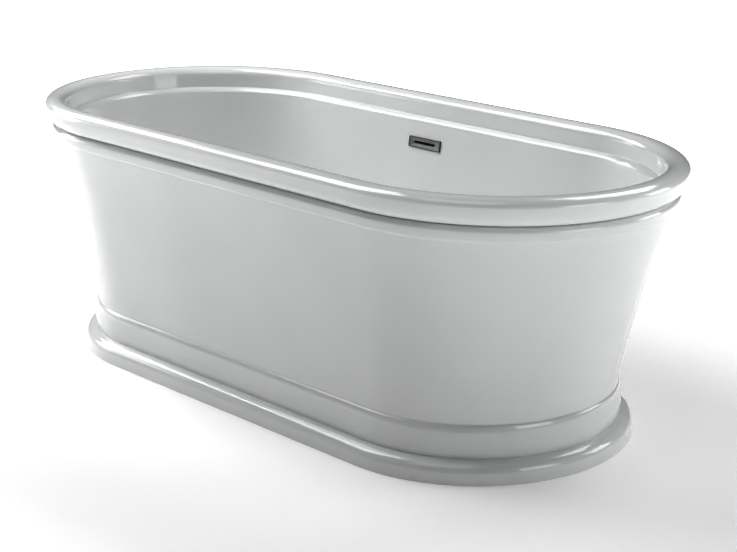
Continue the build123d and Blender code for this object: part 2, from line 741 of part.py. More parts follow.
def make_waste_flange():
    """Strainer flange in the dish, with its threaded tail and the arms that hold the cartridge."""
    bottom = FLOOR_Z - DISH_DEPTH + UPPER_SEAL
    waste_axis = Plane(origin=(WASTE_X, WASTE_Y, SPIDER_Z[0]))
    with BuildPart() as flange:
        add(washer(FLANGE_RADIUS, FLANGE_BORE_RADIUS, bottom, bottom + FLANGE_THICKNESS))
        chamfer(flange.edges().group_by(Axis.Z)[-1].sort_by(SortBy.RADIUS)[-1], FLANGE_BREAK)
        add(washer(FLANGE_TAIL_RADIUS, FLANGE_BORE_RADIUS, FLANGE_TAIL_BOTTOM, bottom))
        with BuildSketch(waste_axis):
            with PolarLocations(0, 3):
                Rectangle(FLANGE_BORE_RADIUS + OVERSHOOT, SPIDER_ARM, align=(Align.MIN, Align.CENTER))
            Circle(SPIDER_HUB_RADIUS)
            Circle(CARTRIDGE_RADIUS, mode=Mode.SUBTRACT)
        extrude(amount=SPIDER_Z[1] - SPIDER_Z[0])
    finish(flange, "waste_flange")


def make_waste_clamp():
    """Washers above and below the dish, and the nut that clamps the flange."""
    dish_floor = FLOOR_Z - DISH_DEPTH
    under = dish_floor - ACRYLIC
    with BuildPart() as upper:
        add(washer(WASTE_SEAL_RADIUS, FLANGE_TAIL_RADIUS, dish_floor, dish_floor + UPPER_SEAL))
    finish(upper, "waste_seal_upper")
    with BuildPart() as lower:
        add(washer(WASTE_SEAL_RADIUS, FLANGE_TAIL_RADIUS, under - LOWER_SEAL, under))
    finish(lower, "waste_seal_lower")
    with BuildPart() as backnut:
        top = under - LOWER_SEAL
        add(hexagon(WASTE_X, WASTE_Y, BACKNUT_RADIUS, top - BACKNUT_HEIGHT, top, FLANGE_TAIL_RADIUS))
    finish(backnut, "waste_backnut")


def make_waste_body():
    """Tee under the flange, with the overflow's branch and the outlet's threaded neck."""
    branch = Plane(origin=(WASTE_X, WASTE_Y, BRANCH_Z), z_dir=(0, 1, 0))
    with BuildPart() as tee:
        add(vertical(WASTE_X, WASTE_Y, TEE_RADIUS, TEE_BOTTOM, TEE_TOP))
        chamfer(tee.edges().group_by(Axis.Z)[0], TEE_BREAK)
        add(vertical(WASTE_X, WASTE_Y, TEE_NECK_RADIUS, TEE_NECK_BOTTOM, TEE_BOTTOM + OVERSHOOT))
        add(cylinder_on(branch, BRANCH_RADIUS, 0, TEE_RADIUS + BRANCH_LENGTH))
        socket = vertical(WASTE_X, WASTE_Y, FLANGE_TAIL_RADIUS, FLANGE_TAIL_BOTTOM, TEE_TOP + OVERSHOOT)
        add(socket, mode=Mode.SUBTRACT)
        bore_z = (TEE_NECK_BOTTOM - OVERSHOOT, FLANGE_TAIL_BOTTOM + OVERSHOOT)
        add(vertical(WASTE_X, WASTE_Y, TEE_BORE_RADIUS, *bore_z), mode=Mode.SUBTRACT)
        bore_end = TEE_RADIUS + BRANCH_LENGTH + OVERSHOOT
        add(cylinder_on(branch, BRANCH_BORE_RADIUS, 0, bore_end), mode=Mode.SUBTRACT)
    finish(tee, "waste_body")


def make_tailpiece():
    """Outlet pipe for the house trap, narrower inside its union nut."""
    bottom, top = TAILPIECE_Z
    low, high = TAILPIECE_NUT_Z
    with BuildPart() as pipe:
        add(washer(TAILPIECE_RADIUS, TAILPIECE_BORE_RADIUS, bottom, low))
        add(washer(TAILPIECE_NECK_RADIUS, TAILPIECE_BORE_RADIUS, low, top))
    finish(pipe, "waste_tailpiece")
    with BuildPart() as nut:
        add(hexagon(WASTE_X, WASTE_Y, TAILPIECE_NUT_RADIUS, low, high, TAILPIECE_NECK_RADIUS))
        neck = vertical(WASTE_X, WASTE_Y, TEE_NECK_RADIUS, TEE_NECK_BOTTOM, high + OVERSHOOT)
        add(neck, mode=Mode.SUBTRACT)
    finish(nut, "tailpiece_nut")


def make_stopper():
    """Click-clack stopper: cap, seal and stem rise together in the cartridge, pushed by the spring."""
    section = Plane(origin=(WASTE_X, WASTE_Y, 0), x_dir=(1, 0, 0), z_dir=(0, -1, 0))
    waste_axis = Axis((WASTE_X, WASTE_Y, 0), (0, 0, 1))
    crown_radius = (CAP_RADIUS**2 + CAP_CROWN**2) / (2 * CAP_CROWN)
    crown_centre = CAP_Z + CAP_EDGE + CAP_CROWN - crown_radius
    half_span = asin(CAP_RADIUS / crown_radius) / 2
    crown_middle = (crown_radius * sin(half_span), crown_centre + crown_radius * cos(half_span))
    with BuildPart() as cap:
        with BuildSketch(section):
            with BuildLine():
                edge_top = (CAP_RADIUS, CAP_Z + CAP_EDGE)
                crown = ThreePointArc(edge_top, crown_middle, (0, CAP_Z + CAP_EDGE + CAP_CROWN))
                Polyline(
                    crown @ 1,
                    (0, CAP_HUB_BOTTOM),
                    (CAP_HUB_RADIUS, CAP_HUB_BOTTOM),
                    (CAP_HUB_RADIUS, CAP_Z),
                    (CAP_RADIUS, CAP_Z),
                    edge_top,
                )
            make_face()
        revolve(axis=waste_axis)
        stem_hole = vertical(WASTE_X, WASTE_Y, STEM_RADIUS, CAP_HUB_BOTTOM - OVERSHOOT, CAP_Z)
        add(stem_hole, mode=Mode.SUBTRACT)
    finish(cap, "stopper_cap")
    with BuildPart() as seal:
        low, high = STOPPER_SEAL_RADII
        add(washer(high, low, STOPPER_SEAL_BOTTOM, CAP_Z))
    finish(seal, "stopper_seal")
    with BuildPart() as stem:
        add(vertical(WASTE_X, WASTE_Y, STEM_RADIUS, STEM_BOTTOM, CAP_Z))
        add(vertical(WASTE_X, WASTE_Y, STEM_COLLAR_RADIUS, *STEM_COLLAR_Z))
    finish(stem, "stopper_stem")


def make_cartridge():
    """Cartridge screwed in the flange's arms, and its spring, which pushes on the stem's collar."""
    low, high = CARTRIDGE_Z
    floor = low + CARTRIDGE_FLOOR
    with BuildPart() as cartridge:
        add(washer(CARTRIDGE_RADIUS, CARTRIDGE_BORE_RADIUS, floor, high - CARTRIDGE_FLOOR))
        add(washer(CARTRIDGE_RADIUS, STEM_RADIUS + RUNNING, low, floor))
        add(washer(CARTRIDGE_RADIUS, STEM_RADIUS + RUNNING, high - CARTRIDGE_FLOOR, high))
    finish(cartridge, "stopper_cartridge")
    coil_bottom = floor + SPRING_WIRE + SPRING_GAP
    coil_height = STEM_COLLAR_Z[0] - floor - 2 * (SPRING_WIRE + SPRING_GAP)
    with BuildPart() as spring:
        with BuildLine():
            centre = (WASTE_X, WASTE_Y, coil_bottom)
            coil = Helix(SPRING_PITCH, coil_height, SPRING_RADIUS, center=centre)
        with BuildSketch(Plane(origin=coil @ 0, z_dir=coil % 0)):
            Circle(SPRING_WIRE)
        sweep(path=coil, is_frenet=True)
    finish(spring, "stopper_spring")


def make_overflow_plate():
    """Faceplate shaped to the wall over its slot, hollow at the back over the screw heads."""
    plane = overflow_plane()
    with BuildPart() as plate:
        with BuildSketch(plane.offset(-PLATE_EDGE)):
            RectangleRounded(*PLATE, PLATE_CORNER)
        extrude(amount=PLATE_THICKNESS + PLATE_EDGE)
        front = plate.faces().sort_by(Axis((0, 0, 0), tuple(plane.z_dir)))[-1]
        chamfer(front.edges(), PLATE_EDGE)
        with BuildSketch(plane.offset(-PLATE_EDGE)):
            Rectangle(PLATE[0] - 2 * PLATE_RIM, PLATE[1] - 2 * PLATE_RIM)
        extrude(amount=PLATE_RECESS + PLATE_EDGE, mode=Mode.SUBTRACT)
        slot = slot_block(SLOT, -SLOT_DEPTH, PLATE_THICKNESS + OVERSHOOT, plane)
        add(slot, mode=Mode.SUBTRACT)
        add(bowl_volume(0), mode=Mode.INTERSECT)
    finish(plate, "overflow_plate")


def make_overflow_body():
    """Housing behind the far wall with its spigot, its gasket and its two screws."""
    plane = overflow_plane()
    back = -(ACRYLIC + BASIN_GLASS)
    down_wall = Plane(origin=plane.from_local_coords((0, 0, -SPIGOT_DEPTH)), z_dir=-plane.y_dir)
    cavity = (HOUSING[0] - 2 * HOUSING_END, HOUSING[1] - 2 * HOUSING_WALL)
    with BuildPart() as gasket:
        with BuildSketch(plane.offset(back - GASKET)):
            RectangleRounded(*HOUSING, HOUSING_CORNER)
            RectangleRounded(*cavity, HOUSING_CORNER, mode=Mode.SUBTRACT)
        extrude(amount=2 * GASKET)
        add(bowl_volume(ACRYLIC + BASIN_GLASS), mode=Mode.SUBTRACT)
        add(overflow_holes(), mode=Mode.SUBTRACT)
    finish(gasket, "overflow_gasket")
    with BuildPart() as housing:
        with BuildSketch(plane.offset(back - GASKET)):
            RectangleRounded(*HOUSING, HOUSING_CORNER)
        extrude(amount=-HOUSING_DEPTH)
        half_height = HOUSING[1] / 2
        spigot_root = half_height - SPIGOT_ROOT
        add(cylinder_on(down_wall, SPIGOT_RADIUS, spigot_root, half_height + SPIGOT_LENGTH))
        with BuildSketch(plane.offset(back - GASKET)):
            RectangleRounded(*cavity, HOUSING_CORNER)
        extrude(amount=HOUSING_WALL - HOUSING_DEPTH, mode=Mode.SUBTRACT)
        bore_end = half_height + SPIGOT_LENGTH + OVERSHOOT
        add(cylinder_on(down_wall, SPIGOT_BORE_RADIUS, 0, bore_end), mode=Mode.SUBTRACT)
        for x in (-SCREW_HOLE_X, SCREW_HOLE_X):
            screw_plane = Plane(origin=plane.from_local_coords((x, 0, 0)), z_dir=plane.z_dir)
            add(cylinder_on(screw_plane, SCREW_RADIUS, -SCREW_HOLE_DEPTH, 0), mode=Mode.SUBTRACT)
    finish(housing, "overflow_body")
    with BuildPart() as screws:
        for x in (-SCREW_HOLE_X, SCREW_HOLE_X):
            screw_plane = Plane(origin=plane.from_local_coords((x, 0, 0)), z_dir=plane.z_dir)
            add(cylinder_on(screw_plane, SCREW_RADIUS, -SCREW_DEPTH, SCREW_HEAD_DEPTHS[0]))
            add(cylinder_on(screw_plane, SCREW_HEAD_RADIUS, *SCREW_HEAD_DEPTHS))
    finish(screws, "overflow_screws")


def hose_route():
    """Corner points of the hose, from its end on the housing's spigot to its end on the tee's branch."""
    plane = overflow_plane()
    spigot_top = HOUSING[1] / 2 + HOSE_END_GAP
    top = plane.from_local_coords((0, -spigot_top, -SPIGOT_DEPTH))
    straight_end = plane.from_local_coords((0, -spigot_top - HOSE_STRAIGHT, -SPIGOT_DEPTH))
    bottom = Vector(WASTE_X, WASTE_Y + TEE_RADIUS + HOSE_END_GAP, BRANCH_Z)
    branch_end = bottom + Vector(0, HOSE_BRANCH_STRAIGHT, 0)
    between = [Vector(OVERFLOW_X, y, z) for y, z in HOSE_POINTS]
    return [top, straight_end, *between, branch_end, bottom]


def hose_radii(route):
    """The largest radius that each corner's two runs allow."""
    radii = []
    for before, corner, after in zip(route, route[1:], route[2:]):
        run_in = corner - before
        run_out = after - corner
        half_turn = radians(run_in.get_angle(run_out)) / 2
        shorter = min(run_in.length, run_out.length)
        radii.append(HOSE_BEND_SHARE * shorter * cos(half_turn) / sin(half_turn))
    return radii


def make_hose():
    """Overflow hose along its route, pushed over both spigots, and its band clips."""
    route = hose_route()
    radii = hose_radii(route)
    print("hose radii", [round(radius) for radius in radii])
    with BuildPart() as hose:
        with BuildLine():
            path = FilletPolyline(route, radius=radii)
        with BuildSketch(Plane(origin=path @ 0, z_dir=path % 0)):
            Circle(HOSE_RADIUS)
            Circle(SPIGOT_RADIUS, mode=Mode.SUBTRACT)
        sweep(path=path)
    finish(hose, "overflow_hose")
    print("hose length", round(path.length))
    make_hose_clip("hose_clip_upper", route[0], route[1] - route[0])
    make_hose_clip("hose_clip_lower", route[-1], route[-2] - route[-1])


def make_hose_clip(name, hose_end, along):
    """Band clip with its screw housing, round the hose's end."""
    hose_section = Plane(origin=hose_end, x_dir=(1, 0, 0), z_dir=along)
    start = hose_section.offset(HOSE_CLIP_PLACE - HOSE_CLIP_WIDTH / 2)
    with BuildPart() as clip:
        with BuildSketch(start):
            Circle(HOSE_CLIP_RADIUS)
            with Locations((HOSE_CLIP_RADIUS + HOSE_CLIP_LUG_OUT, 0)):
                Rectangle(*HOSE_CLIP_LUG)
            Circle(HOSE_RADIUS, mode=Mode.SUBTRACT)
        extrude(amount=HOSE_CLIP_WIDTH)
    finish(clip, name)


os.makedirs("parts", exist_ok=True)
make_basin()
make_basin_glass()
make_skirt()
make_skirt_glass()
make_rim_bond()
make_base_board()
make_rail("frame_rail_front", -RAIL_Y)
make_rail("frame_rail_rear", RAIL_Y)
make_cross_tube("frame_cross_left", -CROSS_X, CROSS_HALF_LENGTH, (-FOOT_Y, FOOT_Y))
make_cross_tube("frame_cross_centre", CENTRE_CROSS_X, CENTRE_CROSS_HALF_LENGTH, (0,))
make_cross_tube("frame_cross_right", CROSS_X, CROSS_HALF_LENGTH, (-FOOT_Y, FOOT_Y))
make_rail_bolts()
make_skirt_blocks()
make_skirt_brackets()
make_bracket_screws()
make_foot_nuts()
for foot_number, (foot_x, foot_y) in enumerate(FEET, start=1):
    make_foot(foot_number, foot_x, foot_y)
make_waste_flange()
make_waste_clamp()
make_waste_body()
make_tailpiece()
make_stopper()
make_cartridge()
make_overflow_plate()
make_overflow_body()
make_hose()
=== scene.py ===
"""Looks of a freestanding bathtub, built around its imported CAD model. Metres, +Z up, X along the tub."""

from math import cos, hypot, pi, radians, sin, tau

import bmesh
import bpy
from mathutils import Matrix, Vector, noise


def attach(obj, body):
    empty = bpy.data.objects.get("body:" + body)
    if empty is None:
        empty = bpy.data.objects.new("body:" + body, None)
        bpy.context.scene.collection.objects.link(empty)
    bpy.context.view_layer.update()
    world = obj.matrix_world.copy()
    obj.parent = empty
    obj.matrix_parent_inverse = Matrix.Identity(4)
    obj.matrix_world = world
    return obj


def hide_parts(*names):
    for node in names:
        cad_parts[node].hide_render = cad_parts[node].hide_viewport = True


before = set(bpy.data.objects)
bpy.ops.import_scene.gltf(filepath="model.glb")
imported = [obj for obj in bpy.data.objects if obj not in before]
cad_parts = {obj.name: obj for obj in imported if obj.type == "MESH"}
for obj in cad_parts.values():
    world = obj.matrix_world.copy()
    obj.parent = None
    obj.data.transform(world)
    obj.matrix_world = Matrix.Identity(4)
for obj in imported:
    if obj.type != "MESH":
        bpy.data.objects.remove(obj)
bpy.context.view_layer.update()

# ---------------------------------------------------------------- materials


class Shader:
    """A node material with one Principled shader, and short ways to add nodes to it."""

    def __init__(self, name):
        self.material = bpy.data.materials.new(name)
        self.material.use_nodes = True
        self.nodes = self.material.node_tree.nodes
        self.links = self.material.node_tree.links
        self.nodes.clear()
        self.out = self.nodes.new("ShaderNodeOutputMaterial")
        self.surface = self.nodes.new("ShaderNodeBsdfPrincipled")
        self.links.new(self.surface.outputs["BSDF"], self.out.inputs["Surface"])
        self.coordinates = self.nodes.new("ShaderNodeTexCoord")

    def set(self, **values):
        """Constants on the shader's own sockets; an underscore stands for a space."""
        for key, value in values.items():
            self.surface.inputs[key.replace("_", " ")].default_value = value
        return self

    def place(self, stretch=(1, 1, 1)):
        """Object coordinates, stretched."""
        mapping = self.nodes.new("ShaderNodeMapping")
        mapping.inputs["Scale"].default_value = stretch
        self.links.new(self.coordinates.outputs["Object"], mapping.inputs["Vector"])
        return mapping.outputs["Vector"]

    def noise(self, scale, detail=3.0, stretch=(1, 1, 1), rough=0.5, distortion=0.0):
        """Noise factor in object space; scale is waves per metre."""
        node = self.nodes.new("ShaderNodeTexNoise")
        node.inputs["Scale"].default_value = scale
        node.inputs["Detail"].default_value = detail
        node.inputs["Roughness"].default_value = rough
        node.inputs["Distortion"].default_value = distortion
        self.links.new(self.place(stretch), node.inputs["Vector"])
        return node.outputs["Fac"]

    def cells(self, scale, feature="F1", stretch=(1, 1, 1)):
        """Voronoi distance in object space."""
        node = self.nodes.new("ShaderNodeTexVoronoi")
        node.feature = feature
        node.inputs["Scale"].default_value = scale
        self.links.new(self.place(stretch), node.inputs["Vector"])
        return node.outputs["Distance"]

    def highest(self, one, other):
        """The higher of two numbers."""
        node = self.nodes.new("ShaderNodeMath")
        node.operation = "MAXIMUM"
        self.links.new(one, node.inputs[0])
        self.links.new(other, node.inputs[1])
        return node.outputs["Value"]

    def ramp(self, factor, *stops):
        """Colours by factor: each stop is (place, (r, g, b))."""
        node = self.nodes.new("ShaderNodeValToRGB")
        elements = node.color_ramp.elements
        while len(elements) < len(stops):
            elements.new(0.5)
        for element, (place, colour) in zip(elements, stops):
            element.position = place
            element.color = (*colour, 1)
        self.links.new(factor, node.inputs["Fac"])
        return node.outputs["Color"]

    def between(self, factor, low, high, span=(0.3, 0.7)):
        """A number from low to high as factor crosses the span."""
        node = self.nodes.new("ShaderNodeMapRange")
        node.inputs["From Min"].default_value = span[0]
        node.inputs["From Max"].default_value = span[1]
        node.inputs["To Min"].default_value = low
        node.inputs["To Max"].default_value = high
        self.links.new(factor, node.inputs["Value"])
        return node.outputs["Result"]

    def colour(self, output):
        """Feeds the base colour."""
        self.links.new(output, self.surface.inputs["Base Color"])
        return self

    def roughness(self, output):
        """Feeds the roughness."""
        self.links.new(output, self.surface.inputs["Roughness"])
        return self

    def bump(self, *layers):
        """Stacks bumps: each layer is (factor, strength, distance in metres)."""
        normal = None
        for factor, strength, distance in layers:
            node = self.nodes.new("ShaderNodeBump")
            node.inputs["Strength"].default_value = strength
            node.inputs["Distance"].default_value = distance
            self.links.new(factor, node.inputs["Height"])
            if normal:
                self.links.new(normal, node.inputs["Normal"])
            normal = node.outputs["Normal"]
        self.links.new(normal, self.surface.inputs["Normal"])
        return self


def speckled(name, dark, light, scale, rough, span=(0.35, 0.65), **values):
    """Material whose colour and roughness wander between two ends."""
    shader = Shader(name).set(**values)
    tone = shader.noise(scale)
    shader.colour(shader.ramp(tone, (span[0], dark), (span[1], light)))
    shader.roughness(shader.between(shader.noise(scale * 2.7, 4), *rough))
    return shader


def acrylic_material():
    """Polished white acrylic: faint vacuum-forming waves, fine orange peel, polish marks."""
    shader = Shader("acrylic_white")
    shader.set(IOR=1.49, Coat_Weight=0.35, Coat_Roughness=0.03, Coat_IOR=1.49)
    tone = shader.noise(3.0, 2)
    shader.colour(shader.ramp(tone, (0.3, (0.79, 0.80, 0.80)), (0.7, (0.83, 0.84, 0.835))))
    shader.roughness(shader.between(shader.noise(22, 4), 0.10, 0.16))
    waves = shader.noise(5.0, 1)
    peel = shader.noise(260, 1)
    return shader.bump((waves, 0.05, 0.01), (peel, 0.05, 0.0004)).material


def brushed_material(name, dark, light):
    """Brushed nickel with fine lines along the tub."""
    shader = Shader(name).set(Metallic=1.0, Anisotropic=0.4)
    lines = shader.noise(900, 3, (0.02, 1, 1))
    shader.colour(shader.ramp(lines, (0.3, dark), (0.7, light)))
    shader.roughness(shader.between(lines, 0.30, 0.46))
    return shader.bump((lines, 0.25, 0.0001)).material


def glass_material():
    """Sprayed resin over chopped strands: yellowish, lumpy, with fibres that cross."""
    shader = Shader("sprayed_fibreglass").set(Coat_Weight=0.25, Coat_Roughness=0.2)
    one_way = shader.noise(420, 2, (1, 0.06, 0.5))
    other_way = shader.noise(420, 2, (0.06, 1, 0.5))
    lumps = shader.noise(38, 5)
    fibres = shader.highest(one_way, other_way)
    resin, mixed_tone, strand = (0.52, 0.49, 0.36), (0.72, 0.70, 0.58), (0.83, 0.82, 0.74)
    shader.colour(shader.ramp(fibres, (0.45, resin), (0.62, mixed_tone), (0.75, strand)))
    shader.roughness(shader.between(lumps, 0.32, 0.62))
    return shader.bump((lumps, 0.7, 0.002), (fibres, 0.6, 0.0004)).material


def board_material():
    """Moisture-proof particle board: packed chips of several browns."""
    shader = Shader("particle_board").set(Specular_IOR_Level=0.25)
    chips = shader.cells(330, "F1", (1, 0.55, 1.6))
    gap_brown, middle_brown, chip_brown = (0.24, 0.21, 0.10), (0.47, 0.36, 0.20), (0.62, 0.49, 0.31)
    shader.colour(shader.ramp(chips, (0.1, gap_brown), (0.45, middle_brown), (0.8, chip_brown)))
    shader.roughness(shader.between(shader.noise(60, 3), 0.62, 0.85))
    return shader.bump((chips, 0.5, 0.0006)).material


def timber_material():
    """Sawn softwood with its growth rings along the tub."""
    shader = Shader("sawn_softwood").set(Specular_IOR_Level=0.3)
    rings = shader.noise(150, 4, (0.06, 1, 1), 0.6, 0.8)
    late_wood, middle_wood, early_wood = (0.42, 0.25, 0.11), (0.63, 0.43, 0.23), (0.74, 0.55, 0.33)
    shader.colour(shader.ramp(rings, (0.35, late_wood), (0.5, middle_wood), (0.68, early_wood)))
    saw = shader.noise(700, 2, (1, 0.2, 0.2))
    shader.roughness(shader.between(saw, 0.6, 0.85))
    return shader.bump((rings, 0.3, 0.0004), (saw, 0.3, 0.0003)).material


def galvanised_material():
    """Galvanised steel: pale crystals of slightly different greys."""
    shader = Shader("galvanised_steel").set(Metallic=0.9)
    spangle = shader.cells(70)
    stain = shader.noise(9, 4)
    dark_grey, middle_grey, pale_grey = (0.36, 0.38, 0.39), (0.50, 0.52, 0.53), (0.61, 0.62, 0.62)
    shader.colour(shader.ramp(spangle, (0.1, dark_grey), (0.5, middle_grey), (0.85, pale_grey)))
    shader.roughness(shader.between(stain, 0.30, 0.55))
    return shader.bump((spangle, 0.15, 0.0004), (stain, 0.1, 0.001)).material


def moulded(name, dark, light, rough, grain=700, **values):
    """Moulded plastic or rubber with a fine grain."""
    shader = speckled(name, dark, light, 14, rough, **values)
    return shader.bump((shader.noise(grain, 2), 0.25, 0.0002), (shader.noise(45, 2), 0.1, 0.0006)).material


def plated(name, dark, light, rough, scale=120, **values):
    """Plated or drawn metal with faint handling marks."""
    shader = speckled(name, dark, light, 40, rough, Metallic=1.0, **values)
    return shader.bump((shader.noise(scale, 3), 0.12, 0.0003)).material


ACRYLIC = acrylic_material()
BRUSHED = brushed_material("brushed_nickel", (0.34, 0.34, 0.33), (0.46, 0.46, 0.45))
# A much darker copy of the same brushed nickel: painted shade for the overflow plate's bevelled frame
BRUSHED_SHADED_EDGE = brushed_material("brushed_nickel_painted_shade_edge", (0.13, 0.13, 0.13), (0.20, 0.20, 0.20))
GLASS = glass_material()
BOND = moulded("bonding_paste", (0.66, 0.65, 0.58), (0.78, 0.77, 0.70), (0.5, 0.75), 160)
BOARD = board_material()
TIMBER = timber_material()
GALVANISED = galvanised_material()
ZINC = plated("zinc_plate", (0.50, 0.50, 0.46), (0.64, 0.63, 0.58), (0.26, 0.42))
CHROME = plated("chrome_plate", (0.70, 0.71, 0.73), (0.76, 0.77, 0.78), (0.05, 0.12), 30)
SPRING = plated("spring_wire", (0.36, 0.36, 0.35), (0.52, 0.52, 0.50), (0.25, 0.4))
WHITE_PLASTIC = moulded("white_polypropylene", (0.74, 0.74, 0.71), (0.81, 0.81, 0.78), (0.34, 0.48))
BLACK_NYLON = moulded("black_nylon", (0.016, 0.016, 0.017), (0.034, 0.034, 0.035), (0.42, 0.6), 420)
HOSE_PLASTIC = moulded("grey_polypropylene", (0.55, 0.56, 0.56), (0.64, 0.65, 0.65), (0.34, 0.5))
RUBBER = moulded("black_rubber", (0.012, 0.012, 0.012), (0.028, 0.028, 0.028), (0.62, 0.82), 300)

# ---------------------------------------------------------------- shells

# Racetrack outlines: half length, half width and where the straight ends
RIM = (0.850, 0.400, 0.440)
PLINTH = (0.748, 0.352, 0.408)
# Levels that pull the bowl's curve from mouth to floor: a racetrack and its height
BOWL_CONTROL = (
    (0.779, 0.329, 0.440, 0.541),
    (0.705, 0.304, 0.390, 0.340),
    (0.640, 0.272, 0.335, 0.165),
    (0.520, 0.170, 0.280, 0.165),
)
# Outer moulding, as (inset, height) corners
PLINTH_FACE_TOP = (0.0, 0.022)
PLINTH_CREASE = (0.030, 0.045)
STEP_FACE = (0.026, 0.082)
WALL_FOOT = (0.035, 0.114)
WALL_SAG = 0.011
WALL_HEAD = (0.020, 0.513)
MOULDING_FACE = (0.015, 0.531)
MOULDING_TOP = (0.027, 0.543)
FLANGE_INSET = 0.048
# Roll, band and ledge
HEIGHT = 0.600
ROLL_FOOT = (0.027, 0.544)
ROLL_FACE = (0.0, 0.582)
ROLL_OUTER_CREST = (0.027, HEIGHT)
ROLL_INNER_CREST = (0.029, HEIGHT)
BAND_TOP = (0.054, 0.578)
BAND_FOOT = (0.057, 0.552)
LEDGE_BACK = (0.059, 0.550)
LEDGE_NOSE = (0.066, 0.547)
BOWL_MOUTH = (0.071, 0.541)
# How far the roll's back is out of line with its crest and its face
CREST_SHIFT = 0.002
FACE_DROP = 0.001

# Points round a racetrack's end and along its side, then levels in each stretch of a shell
END_STEPS = 88
SIDE_STEPS = 36
FINE_ARC = 14
COARSE_ARC = 6
WALL_STEPS = 44
WALL_BACK_STEPS = 20
BOWL_STEPS = 60
BOWL_BACK_STEPS = 26
GLASS_STEPS = 40
# Thickness of the acrylic, how much lower the skirt's back lies, and the layers of resin and glass
SHEET = 0.005
DROP = 0.004
BASIN_GLASS = 0.003
SKIRT_GLASS = 0.002
BASIN_LUMPS = (45, 0.0012)  # waves per metre and height
SKIRT_LUMPS = (38, 0.0009)
HAIRLINE = 0.0001  # gap between a shell and the layer on its back
FLOOR_Z = 0.165
WASTE = Vector((-0.045, 0.055, 0))
# Dish round the waste: radius and height of each ring
DISH = (
    (0.0412, 0.1645),
    (0.0394, 0.1616),
    (0.0386, 0.1610),
    (0.0310, 0.1610),
    (0.0232, 0.1610),
    (0.0230, 0.1608),
)
DISH_RADIUS = 0.042
DISH_BACK = 0.156
WASTE_HOLE = 0.023
DISH_BACK_MIDDLE = 0.035
GLASS_HOLE = 0.049
# Overflow: its middle on the bowl's face, the wall's lean there and the slot through the wall
OVERFLOW = Vector((-0.045, 0.32239, 0.49011))
OVERFLOW_TILT = 0.1345
WALL_SLOT = (0.078, 0.016, 0.06)
SMOOTH_LIMIT = 32  # degrees up to which an edge is shaded smooth


def rim(inset, height):
    """Racetrack that stands in from the rim's outline: half length, half width, straight, height."""
    return RIM[0] - inset, RIM[1] - inset, RIM[2], height


def plinth(inset, height):
    """Racetrack that stands in from the plinth's outline."""
    return PLINTH[0] - inset, PLINTH[1] - inset, PLINTH[2], height


def mixed(start, finish, share):
    """Level part of the way from one to another."""
    return tuple(a + (b - a) * share for a, b in zip(start, finish))


def behind(corner):
    """The corner on the inside of the skirt's sheet that backs a corner of its outside."""
    return corner[0] + SHEET, corner[1] - DROP


def arc(outline, start, finish, level_first, steps=FINE_ARC):
    """Levels along a quarter ellipse between two (inset, height) corners of an outline."""
    levels = []
    for step in range(steps + 1):
        angle = pi / 2 * step / steps
        across = sin(angle) if level_first else 1 - cos(angle)
        up = 1 - cos(angle) if level_first else sin(angle)
        inset = start[0] + (finish[0] - start[0]) * across
        levels.append(outline(inset, start[1] + (finish[1] - start[1]) * up))
    return levels


def run(start, finish, steps=2):
    """Straight run of levels."""
    return [mixed(start, finish, step / steps) for step in range(steps + 1)]


def wall(depth, drop, steps=WALL_STEPS):
    """Levels of the flared wall, depth inside its outer face."""
    levels = []
    for step in range(steps + 1):
        share = step / steps
        half_length, half_width, straight, height = mixed(plinth(*WALL_FOOT), rim(*WALL_HEAD), share)
        inward = WALL_SAG * 4 * share * (1 - share) + depth
        levels.append((half_length - inward, half_width - inward, straight, height - drop))
    return levels


def bowl(depth, steps=BOWL_STEPS):
    """Levels of the bowl from its mouth to its floor, depth outside its face."""
    levels = []
    for step in range(steps + 1):
        place = step / steps
        rest = 1 - place
        weights = (rest**3, 3 * rest**2 * place, 3 * rest * place**2, place**3)
        level = [sum(w * control[i] for w, control in zip(weights, BOWL_CONTROL)) for i in range(4)]
        spread = depth * cos(place * pi / 2)
        drop = depth * sin(place * pi / 2)
        levels.append((level[0] + spread, level[1] + spread, level[2], level[3] - drop))
    return levels


def gap(one, other):
    """Distance between two levels in the tub's cross-section."""
    return hypot(one[1] - other[1], one[3] - other[3])


def trimmed(levels, cut):
    """Levels without the first stretch of length cut."""
    if cut <= 0:
        return list(levels)
    left = cut
    for index in range(len(levels) - 1):
        step = gap(levels[index], levels[index + 1])
        if step > left:
            return [mixed(levels[index], levels[index + 1], left / step), *levels[index + 1 :]]
        left -= step
    return [levels[-1]]


def length_of(levels):
    """Length of a run of levels."""
    return sum(gap(a, b) for a, b in zip(levels, levels[1:]))


def joined(*runs, ease=0.0012, steps=4):
    """One line of levels, with each corner between two runs eased by a small curve."""
    line = list(runs[0])
    for after in runs[1:]:
        corner = line[-1]
        cut = min(ease, 0.45 * length_of(after), 0.45 * length_of(line))
        back = trimmed(line[::-1], cut)[::-1]
        ahead = trimmed(after, cut)
        bend = []
        for step in range(1, steps):
            share = step / steps
            bend.append(mixed(mixed(back[-1], corner, share), mixed(corner, ahead[0], share), share))
        line = back + bend + ahead
    return line


def racetrack(level):
    """Points of a level, counter-clockwise from the right-hand end of its front straight."""
    half_length, half_width, straight, height = level
    reach = half_length - straight
    points = []
    for step in range(END_STEPS):
        angle = -pi / 2 + pi * step / END_STEPS
        points.append(Vector((straight + reach * cos(angle), half_width * sin(angle), height)))
    for step in range(SIDE_STEPS):
        points.append(Vector((straight - 2 * straight * step / SIDE_STEPS, half_width, height)))
    for step in range(END_STEPS):
        angle = pi / 2 + pi * step / END_STEPS
        points.append(Vector((-straight + reach * cos(angle), half_width * sin(angle), height)))
    for step in range(SIDE_STEPS):
        points.append(Vector((-straight + 2 * straight * step / SIDE_STEPS, -half_width, height)))
    return points


